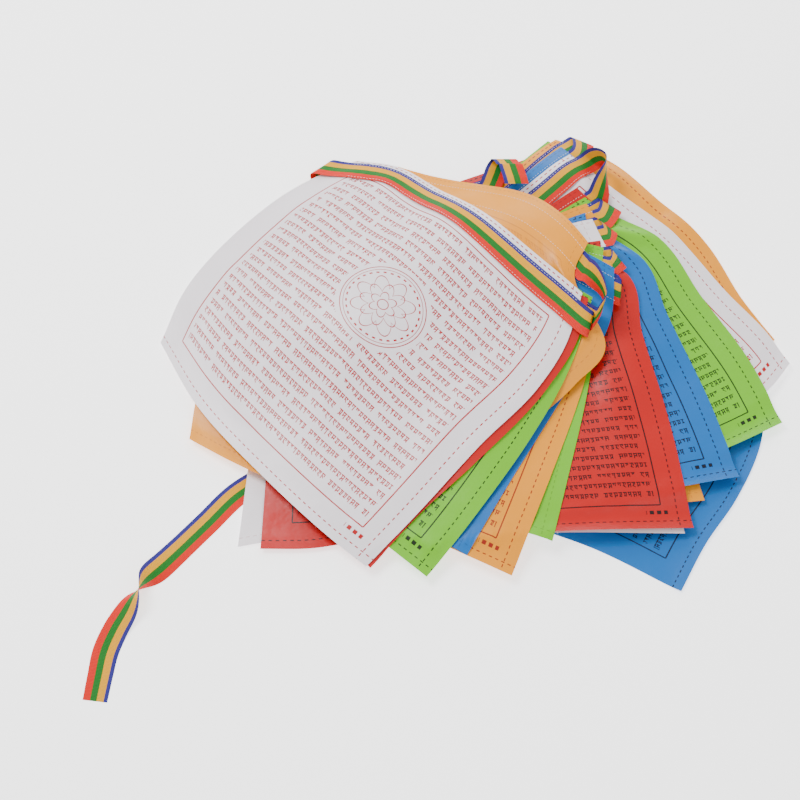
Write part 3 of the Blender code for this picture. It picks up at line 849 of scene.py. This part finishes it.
@dataclass
class Run:
    """The tape along one flag's heading: both edges as rows of points, from left to right."""

    flag: Flag
    edges: np.ndarray = None
    left: np.ndarray = None
    right: np.ndarray = None

    def outline(self) -> tuple[np.ndarray, np.ndarray]:
        """Plan points of both edges, and the part across of each."""
        plan = self.flag.plan
        u = np.linspace(0, 1, RUN_STEPS)
        head = plan.edge("hl", "hr", u)
        along = np.gradient(head, u, axis=0)
        along /= np.linalg.norm(along, axis=1)[:, None]
        middle = np.mean([plan.hl, plan.hr, plan.br, plan.bl], axis=0)
        inward = np.stack((-along[:, 1], along[:, 0]), -1)
        inward *= np.sign(((middle - head) * inward).sum(1))[:, None]
        blue = head + inward * HEM_PAST_TAPE
        red = blue + inward * TAPE_WIDTH
        self.left, self.right = -along[0], along[-1]
        rows = []
        for line, depth in ((blue, HEM_PAST_TAPE), (red, HEM_PAST_TAPE + TAPE_WIDTH)):
            left = self.past(self.left, ("hl", "bl"), depth) + plan.left_reach
            right = self.past(self.right, ("hr", "br"), depth)
            before = [line[0] + self.left * left * part for part in END_ROWS]
            after = [line[-1] + self.right * right * part for part in END_ROWS[::-1]]
            rows.append(np.vstack((before, line, after)))
        part = np.concatenate(([0.0] * len(END_ROWS), u, [1.0] * len(END_ROWS)))
        return np.stack(rows, 1), part

    def past(self, out: np.ndarray, ends: tuple, depth: float) -> float:
        """How far the tape goes past a heading's end to clear the flag's side, at a depth."""
        band = np.linspace(max(0.0, depth - SIDE_BAND), depth + SIDE_BAND, 5)
        line = self.flag.plan.edge(*ends, band / FLAG_LONG)
        corner = np.array(getattr(self.flag.plan, ends[0]), float)
        return max(0.0, ((line - corner) @ out).max()) + TAPE_PAST_SIDE

    def lay(self, pile: Pile) -> None:
        """Settles the run on the pile and adds it there."""
        edges, part = self.outline()
        across = np.linspace(0, 1, TAPE_COLUMNS)[None, :, None]
        points = edges[:, :1] * (1 - across) + edges[:, 1:] * across
        down = (HEM_PAST_TAPE + across[0, :, 0] * TAPE_WIDTH) / HEADING_SPAN
        coarse = self.flag.base(GRID)[..., 2]
        u, v = self.flag.shares(GRID)
        rows = np.interp(down, v[:, 0], np.arange(GRID))
        columns = np.interp(part, u[0], np.arange(GRID))
        heights = coarse[np.rint(rows).astype(int)[None, :], np.rint(columns).astype(int)[:, None]]
        heights = heights + (TAPE_OVER if self.flag.plan.side is Side.OVER else TAPE_UNDER)
        points = np.concatenate((points, np.maximum(heights, FLOOR_GAP)[..., None]), 2)
        settled = pile.settle(points, TAPE_GAP, 4)
        pile.add(settled)
        self.edges = settled

    def strung(self) -> np.ndarray:
        """The run's rows in the order of the string."""
        return self.edges if self.flag.plan.order % 2 else self.edges[::-1]

    def ends(self) -> tuple[np.ndarray, np.ndarray]:
        """Outward directions at the run's start and end, in the order of the string."""
        pair = (self.left, self.right)
        return pair if self.flag.plan.order % 2 else pair[::-1]


@dataclass(frozen=True)
class TailPoint:
    """A point of a tail: its middle, how its flat side turns, its rise and its width."""

    at: tuple
    turn: float = 0.0
    rise: float = 0.0
    wide: float = TAPE_WIDTH


FRONT_TAIL = (
    TailPoint((-279, -304), 180, wide=23),
    TailPoint((-276, -279), 180, wide=24),
    TailPoint((-273, -258), 180),
    TailPoint((-266, -238), 178),
    TailPoint((-257, -221), 165),
    TailPoint((-250, -208), 135),
    TailPoint((-243, -197), 90),
    TailPoint((-236, -187), 45),
    TailPoint((-226, -175), 15),
    TailPoint((-210, -157), 2),
    TailPoint((-186, -131)),
    TailPoint((-157, -100)),
    TailPoint((-120, -78)),
    TailPoint((-85, -70)),
)
REAR_TAIL = (
    TailPoint((-20, 258)),
    TailPoint((2, 242)),
    TailPoint((30, 224)),
    TailPoint((62, 211)),
    TailPoint((84, 222)),
    TailPoint((94, 240), rise=1),
    TailPoint((101, 256), rise=4),
    TailPoint((105, 266), rise=9),
    TailPoint((109, 268), rise=14),
    TailPoint((113, 260), rise=18),
    TailPoint((118, 244), rise=17),
    TailPoint((122, 228), rise=12),
)


@dataclass
class Tape:
    """The one woven tape, from its front tail through every heading to its rear tail."""

    runs: dict
    front: np.ndarray = None
    rear: np.ndarray = None
    across: int = TAPE_COLUMNS
    step: float = 3.0
    tail_steps: int = 10
    level_from: float = 4.5
    fold_rows: int = 9
    fold_reach: float = 5.0
    loop_from: float = 33.0
    loop_rows: int = 25
    loop_stand: float = 0.94
    loop_reach: float = 0.3
    loop_rise: float = 7.0

    def tail(self, rows: tuple, level: bool) -> np.ndarray:
        """Rows of points across a tail, with the heights of its turns alone.

        Args:
            rows: the tail's points.
            level: true where its side stays square to the picture from its seventh point.

        Returns:
            Rows of points, at heights above what the tail lies on.
        """
        at = np.array([row.at for row in rows], float)
        fine = np.linspace(0, len(rows) - 1, self.tail_steps * len(rows))
        middle = smooth_rows(at, fine)
        along = np.gradient(middle, axis=0)
        along /= np.linalg.norm(along, axis=1)[:, None]
        side = np.stack((-along[:, 1], along[:, 0]), -1)
        if level:
            side = -side
            blend = np.clip(fine - self.level_from, 0, 1)[:, None]
            side = side * (1 - blend) + np.array((1.0, 0.0)) * blend
            side /= np.linalg.norm(side, axis=1)[:, None]
        sizes = np.array([(row.turn, row.wide, row.rise) for row in rows], float)
        turn, wide, rise = smooth_rows(sizes, fine).T
        turn, half = np.radians(turn), wide / 2
        share = np.linspace(-1, 1, self.across) if level else np.linspace(1, -1, self.across)
        flat = middle[:, None] + side[:, None] * (half * np.cos(turn))[:, None, None] * share[None, :, None]
        stand = half * np.abs(np.sin(turn))
        high = rise[:, None] + stand[:, None] + (np.sin(turn) * half)[:, None] * share[None]
        return np.concatenate((flat, high[..., None]), 2)

    def lay_tail(self, pile: Pile, rows: tuple, level: bool) -> np.ndarray:
        """Settles a tail on the pile and adds it there."""
        points = self.tail(rows, level)
        ground = points.copy()
        ground[..., 2] = 0.0
        rest = pile.settle(ground, TAPE_GAP, 6)[..., 2]
        keep = np.clip(points[..., 2] / 3, 0, 1)
        points[..., 2] += rest * (1 - keep) + rest.max(1)[:, None] * keep
        pile.add(points)
        return points

    def turn_over(self, one: np.ndarray, two: np.ndarray, out: np.ndarray) -> np.ndarray:
        """Rows that fold the tape back from one run's end to the next one's start.

        Args:
            one: the last row of points of a run.
            two: the first row of the next.
            out: the plan direction in which the fold reaches.

        Returns:
            The rows between them.
        """
        apart = (two.mean(0) - one.mean(0))[:2]
        rise = abs((two.mean(0) - one.mean(0))[2])
        out = np.array((*out, 0.0))
        rows = []
        if np.linalg.norm(apart) < self.loop_from:
            reach = min(self.fold_reach, max(0.75, 0.5 * rise))
            for angle in np.linspace(0, np.pi, self.fold_rows)[1:-1]:
                share = (1 - np.cos(angle)) / 2
                rows.append(one * (1 - share) + two * share + out * reach * np.sin(angle))
            return np.array(rows)
        width = one[0] - one[-1]
        width[2] = 0
        width *= TAPE_WIDTH / np.linalg.norm(width)
        half = np.linspace(0.5, -0.5, self.across)[:, None]
        for share in np.linspace(0, 1, self.loop_rows)[1:-1]:
            round_it = np.sin(np.pi * share)
            bank = round_it * np.pi / 2 * self.loop_stand
            middle = one.mean(0) * (1 - share) + two.mean(0) * share
            middle = middle + out * self.loop_reach * np.linalg.norm(apart) * round_it
            middle[2] += TAPE_WIDTH / 2 * np.sin(bank) + self.loop_rise * round_it ** 0.6
            upright = np.array((0, 0, TAPE_WIDTH))
            rows.append(middle + half * (width * np.cos(bank) + upright * np.sin(bank)))
        return np.array(rows)

    def strip(self) -> np.ndarray:
        """The whole tape as one grid of points, evenly spaced along it."""
        rows = [self.front]
        last, out = None, None
        for order in range(1, len(FLAGS) + 1):
            strung = self.runs[order].strung()
            starts, ends = self.runs[order].ends()
            if last is not None:
                away = out + starts
                rows.append(self.turn_over(last, strung[0], away / np.linalg.norm(away)))
            rows.append(strung)
            last, out = strung[-1], ends
        rows.append(self.turn_over(last, self.rear[0], out))
        rows.append(self.rear)
        points = np.concatenate(rows)
        middle = points.mean(1)
        travelled = np.concatenate(([0], np.cumsum(np.linalg.norm(np.diff(middle, axis=0), axis=1))))
        even = np.arange(0, travelled[-1], self.step)
        flat = points.reshape(len(points), -1)
        spaced = [np.interp(even, travelled, column) for column in flat.T]
        return np.stack(spaced, 1).reshape(len(even), self.across, 3)

    def dress(self, finish: bpy.types.Material, stitches: bpy.types.Object) -> bpy.types.Object:
        """Args:
            finish: its woven stripes.
            stitches: the sewing thread's object; not used.

        Returns:
            The tape's object.
        """
        points = self.strip()
        along = np.arange(len(points)) * self.step
        share = np.linspace(0, TAPE_WIDTH, self.across)
        uv = np.stack(np.broadcast_arrays(along[:, None], share[None]), -1)
        obj = mesh_object("woven_tape", points, uv, finish)
        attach(obj, "root")
        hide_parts("tape")
        LOG.info("tape length %.0f mm", along[-1])
        return obj


@dataclass
class Stitching:
    """The rows of stitches that hold the tape, as short threads along each seam."""

    flags: list
    pitch: float = 3.4
    length: float = 2.5
    thick: float = 0.42
    proud: float = 0.12
    rows: tuple = (2.0, 23.0)

    def seams(self, runs: dict) -> list:
        """Each seam as a row of points just above the cloth that shows."""
        found = []
        for flag in self.flags:
            run = runs[flag.plan.order]
            for inset in self.rows:
                if flag.plan.side is Side.OVER:
                    sewn = run.edges[len(END_ROWS):-len(END_ROWS)]
                    place = inset / TAPE_WIDTH * (TAPE_COLUMNS - 1)
                    line = between(sewn.swapaxes(0, 1), place)
                else:
                    line = self.on_cloth(flag, HEM_PAST_TAPE + inset)
                found.append(line + np.array((0, 0, self.proud)))
        return found

    def on_cloth(self, flag: Flag, down: float) -> np.ndarray:
        """A line on a flag's sheet, a distance down from its heading."""
        v = flag.shares(GRID)[1][:, 0]
        return between(flag.points, np.interp(down / HEADING_SPAN, v, np.arange(GRID)))

    def build(self, runs: dict, thread: bpy.types.Material) -> bpy.types.Object:
        """Makes every stitch with Geometry Nodes on curves along the seams.

        Args:
            runs: the tape's runs by flag.
            thread: the sewing thread's material.

        Returns:
            The object with all the stitches.
        """
        curve = bpy.data.curves.new("seams", "CURVE")
        curve.dimensions = "3D"
        for line in self.seams(runs):
            line[:, :2] -= MIDDLE
            spline = curve.splines.new("POLY")
            spline.points.add(len(line) - 1)
            spline.points.foreach_set("co", np.column_stack((line * MM, np.ones(len(line)))).ravel())
        source = placed("seams", curve)
        modifier = source.modifiers.new("stitches", "NODES")
        tree, sockets = self.nodes(thread)
        modifier.node_group = tree
        for key, size in (("Pitch", self.pitch), ("Length", self.length), ("Thickness", self.thick)):
            modifier[sockets[key]] = size * MM
        bpy.context.view_layer.update()
        graph = bpy.context.evaluated_depsgraph_get()
        mesh = bpy.data.meshes.new_from_object(source.evaluated_get(graph))
        bpy.data.objects.remove(source)
        mesh.name = "tape_stitches"
        obj = placed("tape_stitches", mesh)
        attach(obj, "root")
        return obj

    def nodes(self, thread: bpy.types.Material) -> tuple[bpy.types.NodeTree, dict]:
        """The Geometry Nodes group of a seam, and its inputs' identifiers by name."""
        tree = bpy.data.node_groups.new("seam_stitches", "GeometryNodeTree")
        tree.interface.new_socket(name="Geometry", in_out="INPUT", socket_type="NodeSocketGeometry")
        sockets = {}
        for name in ("Pitch", "Length", "Thickness"):
            made = tree.interface.new_socket(name=name, in_out="INPUT", socket_type="NodeSocketFloat")
            sockets[name] = made.identifier
        tree.interface.new_socket(name="Geometry", in_out="OUTPUT", socket_type="NodeSocketGeometry")
        g = Graph(tree)
        given, result = g.add("NodeGroupInput").outputs, g.add("NodeGroupOutput").inputs
        points = g.add("GeometryNodeCurveToPoints", mode="LENGTH")
        g.join(given["Geometry"], points.inputs[0])
        g.join(given["Pitch"], points.inputs["Length"])
        stitch = g.add("GeometryNodeMeshIcoSphere")
        stitch.inputs["Radius"].default_value = 0.5
        stitch.inputs["Subdivisions"].default_value = 1
        size = g.vector(given["Thickness"], given["Thickness"], given["Length"])
        place = g.add("GeometryNodeInstanceOnPoints")
        g.join(points.outputs["Points"], place.inputs["Points"])
        g.join(stitch.outputs["Mesh"], place.inputs["Instance"])
        g.join(points.outputs["Rotation"], place.inputs["Rotation"])
        g.join(size, place.inputs["Scale"])
        real = g.add("GeometryNodeRealizeInstances")
        g.join(place.outputs[0], real.inputs[0])
        paint = g.add("GeometryNodeSetMaterial")
        g.join(real.outputs[0], paint.inputs["Geometry"])
        paint.inputs["Material"].default_value = thread
        g.join(paint.outputs[0], result[0])
        return tree, sockets


@dataclass(frozen=True)
class Studio:
    """The pale floor, the soft lights and the camera."""

    target: tuple = (-0.0508, -0.00155, 0.0)
    elevation: float = 65.0
    distance: float = 1.5
    lens: float = 67.5

    def build(self) -> None:
        """Makes the floor, the lights, the sky and the camera."""
        self.floor()
        self.light("key", (-0.9, 0.6, 1.7), 0.8, 38.0)
        self.light("fill", (1.2, -0.9, 1.4), 1.4, 8.0)
        self.light("back", (0.3, 1.7, 1.1), 1.0, 16.0)
        world = bpy.data.worlds.new("studio")
        world.use_nodes = True
        sky = world.node_tree.nodes["Background"]
        sky.inputs["Color"].default_value = (1.0, 1.0, 1.0, 1.0)
        sky.inputs["Strength"].default_value = 0.85
        bpy.context.scene.world = world
        self.camera()

    def floor(self) -> None:
        """A wide pale sheet of paper that glows a little, just below the lowest cloth."""
        mesh = bpy.data.meshes.new("floor")
        half = 6.0
        corners = [(-half, -half, 0), (half, -half, 0), (half, half, 0), (-half, half, 0)]
        mesh.from_pydata(corners, [], [(0, 1, 2, 3)])
        glow = {"emission_color": (1.0, 1.0, 1.0, 1.0), "emission_strength": 1.6}
        paper = new_material("paper", base_color=(0.93, 0.93, 0.93, 1.0), roughness=0.9, **glow)[0]
        mesh.materials.append(paper)
        placed("floor", mesh)

    def light(self, name: str, place: tuple, size: float, power: float) -> None:
        """A square soft light that faces the heap."""
        data = bpy.data.lights.new(name, "AREA")
        data.size = size
        data.energy = power
        lamp = placed(name, data)
        lamp.location = place
        lamp.rotation_euler = (-Vector(place)).to_track_quat("-Z", "Y").to_euler()

    def camera(self) -> None:
        """The camera, looking down at the heap from the front."""
        data = bpy.data.cameras.new("camera")
        data.lens = self.lens
        data.sensor_width = 36.0
        camera = placed("camera", data)
        rise = math.radians(self.elevation)
        back = Vector((0.0, -math.cos(rise), math.sin(rise)))
        camera.location = Vector(self.target) + back * self.distance
        camera.rotation_euler = (-back).to_track_quat("-Z", "Y").to_euler()
        bpy.context.scene.camera = camera


def main() -> None:
    """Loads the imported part, lays every sheet from the bottom up and dresses it."""
    logging.basicConfig(level=logging.INFO, format="%(name)s: %(message)s")
    for old in list(bpy.data.objects):
        bpy.data.objects.remove(old, do_unlink=True)
    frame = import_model()
    pile = Pile()
    flags = [Flag(plan, frame["nodes"][plan.name]) for plan in FLAGS]
    runs = {}
    tape = Tape(runs)
    for flag in flags:
        run = Run(flag)
        runs[flag.plan.order] = run
        if flag.plan.order == len(FLAGS):
            tape.rear = tape.lay_tail(pile, REAR_TAIL, True)
        layers = (flag, run) if flag.plan.side is Side.OVER else (run, flag)
        for layer in layers:
            layer.lay(pile)
        if flag.plan.order == 1:
            tape.front = tape.lay_tail(pile, FRONT_TAIL, False)
    ink, weave = PrintLayout().ink(), satin_weave()
    finishes = {}
    for flag in flags:
        over = flag.plan.side is Side.OVER
        cloth, colour = SATINS[flag.plan.colour]
        key = (flag.plan.colour, over)
        if key not in finishes:
            name = flag.plan.colour + ("_satin_face" if over else "_satin_back")
            finishes[key] = Satin(cloth, colour, 1.0 if over else 0.3).build(name, ink, weave)
        flag.dress(finishes[key])
        LOG.info("%s area %.4f of flat", flag.plan.name, flag.area() / FLAG_WIDTH / FLAG_LENGTH)
    stitches = Stitching(flags).build(runs, Thread().build("white_thread"))
    tape.dress(StripedTape().build("woven_stripes"), stitches)
    Studio().build()


if __name__ == "__main__":
    main()
